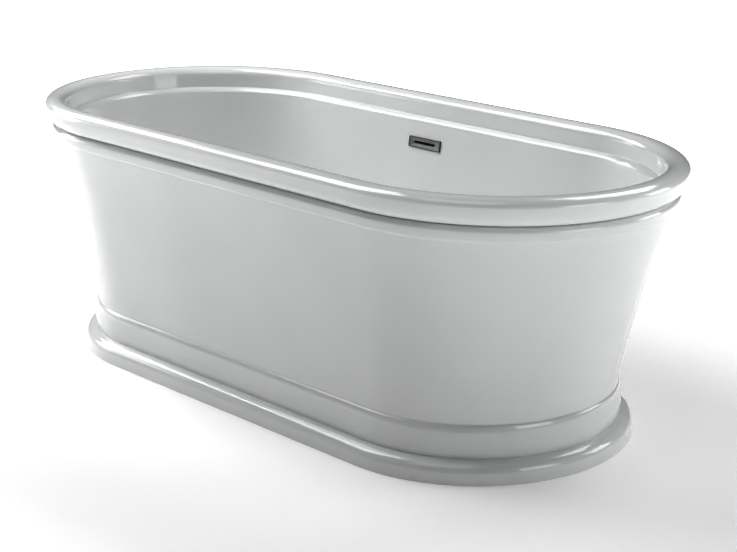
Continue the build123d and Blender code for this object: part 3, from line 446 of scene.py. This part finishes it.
def circle_like(points, radius, height):
    """Points on a circle round the waste, in the directions of other points."""
    placed = []
    for point in points:
        away = Vector((point.x - WASTE.x, point.y - WASTE.y, 0)).normalized()
        placed.append(Vector((WASTE.x + away.x * radius, WASTE.y + away.y * radius, height)))
    return placed


def between_rings(outer, inner, steps):
    """Rings spread between two rings, without the first."""
    return [[a.lerp(b, step / steps) for a, b in zip(outer, inner)] for step in range(1, steps + 1)]


def mesh_object(name, vertices, faces, material, sharp=SMOOTH_LIMIT):
    """Object from vertices and faces, shaded smooth up to the sharp angle in degrees."""
    mesh = bpy.data.meshes.new(name)
    mesh.from_pydata(vertices, [], faces)
    mesh.validate()
    built = bpy.data.objects.new(name, mesh)
    bpy.context.scene.collection.objects.link(built)
    mesh.materials.append(material)
    work = bmesh.new()
    work.from_mesh(mesh)
    bmesh.ops.remove_doubles(work, verts=work.verts, dist=1e-7)
    bmesh.ops.recalc_face_normals(work, faces=work.faces)
    work.to_mesh(mesh)
    work.free()
    mesh.shade_smooth()
    mesh.set_sharp_from_angle(angle=radians(sharp))
    return built


def skinned(rings, closed):
    """Vertices and quads of a skin over rings; closed joins the last ring to the first."""
    count = len(rings[0])
    vertices = [point for ring in rings for point in ring]
    faces = []
    pairs = len(rings) if closed else len(rings) - 1
    for ring in range(pairs):
        low = ring * count
        high = ((ring + 1) % len(rings)) * count
        for step in range(count):
            after = (step + 1) % count
            faces.append((low + step, low + after, high + after, high + step))
    return vertices, faces


def shown_as(built, body, slot, *nodes):
    """The object stands for CAD nodes and rides on their body; slot is not used."""
    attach(built, body)
    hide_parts(*nodes)


def cut_slot(built):
    """Takes the overflow's slot out of an object."""
    cutter = slot_cutter()
    change = built.modifiers.new("cut", "BOOLEAN")
    change.operation = "DIFFERENCE"
    change.solver = "EXACT"
    change.object = cutter
    depsgraph = bpy.context.evaluated_depsgraph_get()
    cut = bpy.data.meshes.new_from_object(built.evaluated_get(depsgraph))
    built.modifiers.clear()
    built.data = cut
    bpy.data.objects.remove(cutter)
    cut.shade_smooth()
    cut.set_sharp_from_angle(angle=radians(SMOOTH_LIMIT))


def make_skirt():
    """Outer shell: plinth, flared wall and the moulding under the roll."""
    outside = joined(
        run(plinth(0, 0), plinth(*PLINTH_FACE_TOP), 3),
        arc(plinth, PLINTH_FACE_TOP, PLINTH_CREASE, False),
        arc(plinth, PLINTH_CREASE, STEP_FACE, True),
        arc(plinth, STEP_FACE, WALL_FOOT, False),
        wall(0, 0),
        arc(rim, WALL_HEAD, MOULDING_FACE, True),
        arc(rim, MOULDING_FACE, MOULDING_TOP, False),
        run(rim(*MOULDING_TOP), rim(FLANGE_INSET, MOULDING_TOP[1])),
        ease=0.0022,
    )
    shoulder = behind(MOULDING_TOP)
    foot = behind(PLINTH_FACE_TOP)
    inside = joined(
        run(rim(FLANGE_INSET, shoulder[1]), rim(*shoulder)),
        arc(rim, behind(MOULDING_FACE), shoulder, False, COARSE_ARC)[::-1],
        arc(rim, behind(WALL_HEAD), behind(MOULDING_FACE), True, COARSE_ARC)[::-1],
        wall(SHEET, DROP, WALL_BACK_STEPS)[::-1],
        arc(plinth, behind(STEP_FACE), behind(WALL_FOOT), False, COARSE_ARC)[::-1],
        arc(plinth, behind(PLINTH_CREASE), behind(STEP_FACE), True, COARSE_ARC)[::-1],
        arc(plinth, foot, behind(PLINTH_CREASE), False, COARSE_ARC)[::-1],
        run(plinth(*foot), plinth(foot[0], 0)),
    )
    rings = [racetrack(level) for level in [*outside, *inside]]
    built = mesh_object("outer_skirt_shell", *skinned(rings, True), ACRYLIC)
    shown_as(built, "tub", "acrylic", "outer_skirt")


def slot_cutter():
    """Slot-shaped cutter through the far wall, square to it."""
    length, height, depth = WALL_SLOT
    radius = height / 2
    half = length / 2 - radius
    outline = []
    for side, start in ((half, -pi / 2), (-half, pi / 2)):
        for step in range(17):
            angle = start + pi * step / 16
            outline.append((side + radius * cos(angle), radius * sin(angle)))
    front = [Vector((x, -depth / 2, z)) for x, z in outline]
    back = [Vector((x, depth / 2, z)) for x, z in outline]
    count = len(outline)
    faces = [tuple(range(count)), tuple(range(2 * count - 1, count - 1, -1))]
    faces += [(i, (i + 1) % count, (i + 1) % count + count, i + count) for i in range(count)]
    built = mesh_object("slot_cutter", front + back, faces, ACRYLIC)
    built.matrix_world = Matrix.Translation(OVERFLOW) @ Matrix.Rotation(-OVERFLOW_TILT, 4, "X")
    return built


def make_basin():
    """Inner shell: roll, band, ledge, bowl, floor and the dish round the waste."""
    lip = (ROLL_FOOT[0] + SHEET, ROLL_FOOT[1])
    face = joined(
        run(rim(*lip), rim(*ROLL_FOOT)),
        arc(rim, ROLL_FOOT, ROLL_FACE, True),
        arc(rim, ROLL_FACE, ROLL_OUTER_CREST, False),
        run(rim(*ROLL_OUTER_CREST), rim(*ROLL_INNER_CREST)),
        arc(rim, BAND_TOP, ROLL_INNER_CREST, False)[::-1],
        run(rim(*BAND_TOP), rim(*BAND_FOOT), 4),
        arc(rim, LEDGE_BACK, BAND_FOOT, True, 4)[::-1],
        run(rim(*LEDGE_BACK), rim(*LEDGE_NOSE)),
        run(rim(*LEDGE_NOSE), rim(*BOWL_MOUTH)),
        bowl(0),
        ease=0.0016,
    )
    neck = (BOWL_MOUTH[0] - SHEET, BOWL_MOUTH[1])
    band_foot = (BAND_FOOT[0] - SHEET, BAND_FOOT[1] - SHEET)
    band_top = (BAND_TOP[0] - SHEET, BAND_TOP[1])
    under_crest = (ROLL_INNER_CREST[0] + SHEET, HEIGHT - SHEET)
    outer_crest = (ROLL_OUTER_CREST[0] + CREST_SHIFT, HEIGHT - SHEET)
    face_back = (ROLL_FACE[0] + SHEET, ROLL_FACE[1] - FACE_DROP)
    back = joined(
        bowl(SHEET, BOWL_BACK_STEPS)[::-1],
        run(rim(*neck), rim(*band_foot)),
        run(rim(*band_foot), rim(*band_top)),
        arc(rim, band_top, under_crest, False, COARSE_ARC),
        run(rim(*under_crest), rim(*outer_crest)),
        arc(rim, face_back, outer_crest, False, COARSE_ARC)[::-1],
        arc(rim, lip, face_back, True, COARSE_ARC)[::-1],
    )
    front_rings = [racetrack(level) for level in face]
    back_rings = [racetrack(level) for level in back]
    floor = front_rings[-1]
    edge = circle_like(floor, DISH_RADIUS, FLOOR_Z)
    under_floor = back_rings[0]
    under_edge = circle_like(under_floor, DISH_RADIUS + SHEET, FLOOR_Z - SHEET)
    rings = front_rings + between_rings(floor, edge, 10)
    rings += [circle_like(floor, radius, height) for radius, height in DISH]
    for radius in (WASTE_HOLE, DISH_BACK_MIDDLE, DISH_RADIUS + SHEET):
        rings.append(circle_like(floor, radius, DISH_BACK))
    rings += [under_edge] + between_rings(under_edge, under_floor, 4)
    rings += back_rings[1:-1]
    built = mesh_object("inner_basin_shell", *skinned(rings, True), ACRYLIC)
    cut_slot(built)
    shown_as(built, "tub", "acrylic", "inner_basin")


def lump(point, scale, height):
    """Height of the resin's lumps at a point."""
    return height * (0.5 + 0.5 * noise.noise(point * scale))


def make_basin_glass():
    """Resin and glass on the back of the bowl, lumpy on its free side, open at the waste and overflow."""
    face = [racetrack(level) for level in bowl(SHEET + HAIRLINE, GLASS_STEPS)]
    back = [racetrack(level) for level in bowl(SHEET + BASIN_GLASS, GLASS_STEPS)]
    top_edge = circle_like(face[-1], GLASS_HOLE, FLOOR_Z - SHEET - HAIRLINE)
    low_edge = circle_like(back[-1], GLASS_HOLE, FLOOR_Z - SHEET - BASIN_GLASS)
    rings = face + between_rings(face[-1], top_edge, 8)
    free = between_rings(low_edge, back[-1], 8) + back[-2::-1]
    middle = Vector((0, 0, 0.5))
    for ring in free[1:-1]:
        for point in ring:
            point += (middle - point).normalized() * lump(point, *BASIN_LUMPS)
    built = mesh_object("basin_fibreglass_layer", *skinned(rings + [low_edge] + free, True), GLASS)
    cut_slot(built)
    shown_as(built, "tub", "fibreglass", "basin_fibreglass")


def make_skirt_glass():
    """Resin and glass on the inside of the skirt's wall, lumpy on its free side."""
    against = [racetrack(level) for level in wall(SHEET + HAIRLINE, DROP, GLASS_STEPS)]
    free = [racetrack(level) for level in wall(SHEET + SKIRT_GLASS, DROP, GLASS_STEPS)]
    for ring in free[1:-1]:
        for point in ring:
            point += Vector((point.x, point.y * 2, 0)).normalized() * lump(point, *SKIRT_LUMPS)
    built = mesh_object("skirt_fibreglass_layer", *skinned(against + free[::-1], True), GLASS)
    shown_as(built, "tub", "fibreglass", "skirt_fibreglass")


# ---------------------------------------------------------------- metalwork, waste and overflow


# Studs: thread, hexagon and feet, numbered in this order
THREAD_POINTS = 24
THREAD_PITCH = 0.00175
RINGS_PER_PITCH = 7
THREAD_RADIUS = 0.00595
THREAD_DEPTH = 0.00095
THREAD_RUNOUT = 0.0012
RUNOUT_DEPTH = 0.0009
STUD_Z = (0.0091, 0.109)
HEX_Z = (0.0300, 0.0380)
HEX_RADIUS = 0.0080
HEX_BREAK = 0.0005
HEX_BREAK_RISE = 0.0004
HEX_ROOT = 0.0055
HEX_GAP = 0.0002
FEET = ((-0.4, -0.23), (-0.4, 0.23), (0.4, -0.23), (0.4, 0.23), (0.15, 0.0))

# Overflow plate, as (length, height, corner radius, distance from the wall) outlines
PLATE_FRAME = (
    (0.1020, 0.0260, 0.0020, 0.0001),
    (0.1020, 0.0260, 0.0020, 0.0026),
    (0.1016, 0.0256, 0.0018, 0.0031),
    (0.1008, 0.0248, 0.0016, 0.0034),
    (0.1000, 0.0240, 0.0014, 0.0035),
    (0.0976, 0.0216, 0.0010, 0.0035),
    (0.0970, 0.0210, 0.0009, 0.0033),
    (0.0966, 0.0206, 0.0008, 0.0026),
)
PLATE_PANEL = (
    (0.0962, 0.0202, 0.0008, 0.0025),
    (0.0674, 0.0074, 0.0037, 0.0025),
    (0.0664, 0.0064, 0.0032, 0.0023),
    (0.0660, 0.0060, 0.0030, 0.0019),
    (0.0660, 0.0060, 0.0030, 0.0015),
    (0.0960, 0.0200, 0.0010, 0.0015),
    (0.0960, 0.0200, 0.0010, 0.0001),
)
# Where the brushed faces lie: distance from the wall and reach along the tub
PANEL_OUT = (0.0016, 0.00255)
PANEL_HALF_LENGTH = 0.0479

# Overflow hose: control points (y, z) of its route, then its section
HOSE_ROUTE = (
    (0.3425, 0.4672),
    (0.3371, 0.4276),
    (0.325, 0.370),
    (0.310, 0.300),
    (0.290, 0.228),
    (0.256, 0.160),
    (0.206, 0.108),
    (0.138, 0.095),
    (0.082, 0.095),
)
HOSE_POINTS = 28
HOSE_RESOLUTION = 130
HOSE_BORE = 0.0092
CUFF_RADIUS = 0.0118
CUFF_LENGTH = 0.024
CUFF_FADE = 0.002
GROOVE_RADIUS = 0.0100
CORRUGATION_RISE = 0.0019
CORRUGATION_PITCH = 0.0046
BORE_STRIDE = 12


def dressed(material, width, *nodes):
    """CAD nodes with a finish and, where width is set, broken edges that catch the light."""
    for name in nodes:
        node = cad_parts[name]
        if not node.material_slots:
            node.data.materials.append(material)
        for material_slot in node.material_slots:
            material_slot.material = material
        if not width:
            continue
        weld = node.modifiers.new("weld", "WELD")
        weld.merge_threshold = 1e-6
        flat = node.modifiers.new("flat", "DECIMATE")
        flat.decimate_type = "DISSOLVE"
        flat.angle_limit = radians(0.5)
        edge = node.modifiers.new("edge", "BEVEL")
        edge.width = width
        edge.segments = 2
        edge.limit_method = "ANGLE"
        edge.angle_limit = radians(34)
        edge.harden_normals = True
        normals = node.modifiers.new("normals", "WEIGHTED_NORMAL")
        normals.keep_sharp = True


def capped_skin(rings):
    """Skin over rings with its two ends closed."""
    vertices, faces = skinned(rings, False)
    count = len(rings[0])
    faces.append(tuple(reversed(range(count))))
    faces.append(tuple(range(len(vertices) - count, len(vertices))))
    return vertices, faces


def stud_ring(x, y, height, radius, hexagonal=False):
    """Ring of a stud; a hexagonal one has its corners at the radius."""
    points = []
    for step in range(THREAD_POINTS):
        angle = tau * step / THREAD_POINTS
        reach = radius
        if hexagonal:
            off_flat = (angle + pi / 6) % (pi / 3) - pi / 6
            reach = radius * cos(pi / 6) / cos(pi / 6 - abs(off_flat))
        points.append(Vector((x + reach * cos(angle), y + reach * sin(angle), height)))
    return points


def thread_run(x, y, low, high):
    """Rings of a metric thread from one height to another, tapered at both ends."""
    rings = []
    steps = int((high - low) / (THREAD_PITCH / RINGS_PER_PITCH))
    for step in range(steps + 1):
        height = low + (high - low) * step / steps
        taper = min(1.0, (height - low) / THREAD_RUNOUT, (high - height) / THREAD_RUNOUT)
        points = []
        for turn in range(THREAD_POINTS):
            angle = tau * turn / THREAD_POINTS
            phase = (height / THREAD_PITCH - angle / tau) % 1.0
            valley = 1 - abs(2 * phase - 1)
            depth = THREAD_DEPTH * max(0.0, min(1.0, 1.3 * valley - 0.15))
            radius = THREAD_RADIUS - max(depth, RUNOUT_DEPTH * (1 - taper))
            points.append(Vector((x + radius * cos(angle), y + radius * sin(angle), height)))
        rings.append(points)
    return rings


def make_stud(number, x, y):
    """Threaded stud of a levelling foot, with its hexagon for a spanner."""
    low, high = HEX_Z
    broken = HEX_RADIUS - HEX_BREAK
    hexagon = [
        stud_ring(x, y, low, HEX_ROOT),
        stud_ring(x, y, low, broken, True),
        stud_ring(x, y, low + HEX_BREAK_RISE, HEX_RADIUS, True),
        stud_ring(x, y, high - HEX_BREAK_RISE, HEX_RADIUS, True),
        stud_ring(x, y, high, broken, True),
        stud_ring(x, y, high, HEX_ROOT),
    ]
    below = thread_run(x, y, STUD_Z[0], low - HEX_GAP)
    above = thread_run(x, y, high + HEX_GAP, STUD_Z[1])
    rings = below + hexagon + above
    built = mesh_object(f"foot_stud_{number}_threaded", *capped_skin(rings), ZINC, 40)
    shown_as(built, f"foot_{number}_stud", "zinc", f"foot_stud_{number}")


def on_wall(across, up, out):
    """Point in the overflow's plane: along the tub, up the wall and out of it."""
    up_wall = Vector((0, sin(OVERFLOW_TILT), cos(OVERFLOW_TILT)))
    outward = Vector((0, -cos(OVERFLOW_TILT), sin(OVERFLOW_TILT)))
    return OVERFLOW + Vector((across, 0, 0)) + up_wall * up + outward * out


def plate_ring(length, height, corner, out):
    """Round-cornered outline in the overflow's plane."""
    points = []
    half = (length / 2 - corner, height / 2 - corner)
    for quarter, (side, rise) in enumerate(((1, 1), (-1, 1), (-1, -1), (1, -1))):
        for step in range(7):
            angle = pi / 2 * (quarter + step / 6)
            across = side * half[0] + corner * cos(angle)
            points.append(on_wall(across, rise * half[1] + corner * sin(angle), out))
    return points


def make_overflow_plate():
    """Faceplate: bevelled frame in brushed nickel darkened with painted shade, sunk brushed panel and one
    slot.
    """
    rings = [plate_ring(*ring) for ring in PLATE_FRAME + PLATE_PANEL]
    built = mesh_object("overflow_plate_face", *skinned(rings, True), BRUSHED_SHADED_EDGE, 30)
    built.data.materials.append(BRUSHED)
    # Frame faces keep the darker copy with painted shade; the sunk panel's faces get the brushed nickel
    outward = on_wall(0, 0, 1) - OVERFLOW
    for polygon in built.data.polygons:
        out = (Vector(polygon.center) - OVERFLOW).dot(outward)
        across = abs(polygon.center.x - OVERFLOW.x)
        if PANEL_OUT[0] < out < PANEL_OUT[1] and across < PANEL_HALF_LENGTH:
            polygon.material_index = 1
    shown_as(built, "tub", "brushed", "overflow_plate")


def route_points(controls, resolution):
    """Points along the smooth curve that the control points pull."""
    data = bpy.data.curves.new("route", "CURVE")
    data.dimensions = "3D"
    data.resolution_u = resolution
    spline = data.splines.new("NURBS")
    spline.points.add(len(controls) - 1)
    for point, control in zip(spline.points, controls):
        point.co = (*control, 1)
    spline.order_u = 3
    spline.use_endpoint_u = True
    route = bpy.data.objects.new("route", data)
    line = bpy.data.meshes.new_from_object(route)
    points = [vertex.co.copy() for vertex in line.vertices]
    bpy.data.objects.remove(route)
    return points


def hose_ring(points, index, radius):
    """Ring round the hose's line at one of its points; the line lies in a plane across the tub."""
    before = points[max(index - 1, 0)]
    after = points[min(index + 1, len(points) - 1)]
    side = (after - before).normalized().cross(Vector((1, 0, 0)))
    ring = []
    for step in range(HOSE_POINTS):
        angle = tau * step / HOSE_POINTS
        ring.append(points[index] + Vector((1, 0, 0)) * radius * cos(angle) + side * radius * sin(angle))
    return ring


def make_hose():
    """Corrugated overflow hose with plain cuffs at both ends."""
    points = route_points([(WASTE.x, y, z) for y, z in HOSE_ROUTE], HOSE_RESOLUTION)
    travelled = [0.0]
    for before, after in zip(points, points[1:]):
        travelled.append(travelled[-1] + (after - before).length)
    length = travelled[-1]
    rings = [hose_ring(points, 0, HOSE_BORE)]
    for index, place in enumerate(travelled):
        from_end = min(place, length - place)
        wave = 0.5 + 0.5 * cos(tau * place / CORRUGATION_PITCH)
        flat = min(1.0, max(0.0, (CUFF_LENGTH - from_end) / CUFF_FADE))
        ribbed = GROOVE_RADIUS + CORRUGATION_RISE * wave**0.7
        rings.append(hose_ring(points, index, CUFF_RADIUS * flat + ribbed * (1 - flat)))
    inside = range(len(points) - 1, BORE_STRIDE, -BORE_STRIDE)
    rings += [hose_ring(points, index, HOSE_BORE) for index in inside]
    built = mesh_object("overflow_hose_corrugated", *skinned(rings, True), HOSE_PLASTIC, 60)
    shown_as(built, "tub", "hose", "overflow_hose")


make_skirt()
make_basin()
make_basin_glass()
make_skirt_glass()
make_overflow_plate()
make_hose()
for foot_number, (foot_x, foot_y) in enumerate(FEET, start=1):
    make_stud(foot_number, foot_x, foot_y)
    dressed(BLACK_NYLON, 0.0005, f"foot_pad_{foot_number}")
    dressed(ZINC, 0.0003, f"foot_lock_nut_{foot_number}")
dressed(GALVANISED, 0.0004, "frame_rail_front", "frame_rail_rear")
dressed(GALVANISED, 0.0004, "frame_cross_left", "frame_cross_centre", "frame_cross_right")
dressed(ZINC, 0.0003, "rail_bolts", "skirt_brackets", "bracket_screws", "foot_nuts", "stopper_stem")
dressed(ZINC, 0.0002, "overflow_screws", "hose_clip_upper", "hose_clip_lower")
dressed(BOND, 0.0005, "rim_bond")
dressed(BOARD, 0.0006, "base_board")
dressed(TIMBER, 0.0008, "skirt_blocks")
dressed(CHROME, 0.0004, "waste_flange", "stopper_cap")
dressed(WHITE_PLASTIC, 0.0005, "waste_backnut", "waste_body", "waste_tailpiece", "tailpiece_nut")
dressed(WHITE_PLASTIC, 0.0004, "overflow_body", "stopper_cartridge")
dressed(RUBBER, 0.0004, "waste_seal_upper", "waste_seal_lower", "stopper_seal", "overflow_gasket")
dressed(SPRING, 0, "stopper_spring")

# ---------------------------------------------------------------- stage


AIM = Vector((0, 0, 0.3))
FLOOR_HALF = 30.0
FLOOR_DROP = 0.0005
# Painted light: how strongly the floor glows near the tub and far from it, and the distances over which it
# changes
GLOW = (0.24, 1.15)  # of the floor, near the tub and far from it
GLOW_SPAN = (0.9, 2.3)
CAMERA_PLACE = (2.6003, -2.4997, 1.3352)
CAMERA_YAW = 0.7875
CAMERA_PITCH = 0.2957
CAMERA_ROLL = 0.0077
CAMERA_LENS = 80.4
GAMMA = 0.62


def make_floor():
    """Plain pale floor that glows as painted light, dimly near the tub and more brightly further away, so
    it is whiter further away.
    """
    shader = Shader("floor_paint_and_glow")
    shader.set(Base_Color=(0.8, 0.8, 0.8, 1), Roughness=0.9, Specular_IOR_Level=0.1)
    # The floor glows more the further it lies from the tub: painted light on top of its pale paint
    shader.set(Emission_Color=(1, 1, 1, 1))
    away = shader.nodes.new("ShaderNodeVectorMath")
    away.operation = "LENGTH"
    shader.links.new(shader.place((0.6, 1, 1)), away.inputs[0])
    glow = shader.between(away.outputs["Value"], *GLOW, GLOW_SPAN)
    shader.links.new(glow, shader.surface.inputs["Emission Strength"])
    corners = [(x * FLOOR_HALF, y * FLOOR_HALF, 0) for x, y in ((-1, -1), (1, -1), (1, 1), (-1, 1))]
    floor = mesh_object("floor", corners, [(0, 1, 2, 3)], shader.material)
    floor.location.z = -FLOOR_DROP


def make_camera():
    """Camera at the photograph's viewing angle."""
    yaw, pitch, roll = CAMERA_YAW, CAMERA_PITCH, CAMERA_ROLL
    forward = Vector((-sin(yaw) * cos(pitch), cos(yaw) * cos(pitch), -sin(pitch)))
    right = forward.cross(Vector((0, 0, 1))).normalized()
    up = right.cross(forward)
    turned = cos(roll) * right + sin(roll) * up
    turned_up = cos(roll) * up - sin(roll) * right
    pose = Matrix((turned, turned_up, -forward)).transposed().to_4x4()
    pose.translation = CAMERA_PLACE
    data = bpy.data.cameras.new("camera")
    data.sensor_width = 36
    data.lens = CAMERA_LENS
    camera = bpy.data.objects.new("camera", data)
    camera.matrix_world = pose
    bpy.context.scene.collection.objects.link(camera)
    bpy.context.scene.camera = camera


def make_world():
    """Even pale surroundings."""
    world = bpy.data.worlds.new("studio")
    world.use_nodes = True
    background = world.node_tree.nodes["Background"]
    background.inputs["Color"].default_value = (1, 1, 1, 1)
    background.inputs["Strength"].default_value = 0.02
    bpy.context.scene.world = world


def studio_light(name, azimuth, elevation, distance, size, power):
    """Square soft light on a sphere round the tub, aimed at its middle."""
    turn, lift = radians(azimuth), radians(elevation)
    level = distance * cos(lift)
    offset = Vector((level * cos(turn), level * sin(turn), distance * sin(lift)))
    data = bpy.data.lights.new(name, "AREA")
    data.shape = "RECTANGLE"
    data.size, data.size_y = size, size
    data.energy = power
    light = bpy.data.objects.new(name, data)
    light.location = AIM + offset
    light.rotation_euler = (-offset).to_track_quat("-Z", "Y").to_euler()
    bpy.context.scene.collection.objects.link(light)


make_floor()
make_world()
make_camera()
studio_light("key", 208, 56, 3.0, 1.7, 52)
studio_light("left", 187, 32, 3.0, 1.2, 26)
studio_light("left_near", 205, 12, 2.0, 0.8, 7)
studio_light("front_fill", 300, 66, 3.0, 1.6, 14)
studio_light("right", 0, 14, 3.0, 1.2, 15)
studio_light("rim_light", 45, 15, 3.0, 1.0, 14)
studio_light("back", 70, 52, 3.0, 1.4, 30)
bpy.context.scene.view_settings.view_transform = "Standard"
bpy.context.scene.view_settings.gamma = GAMMA
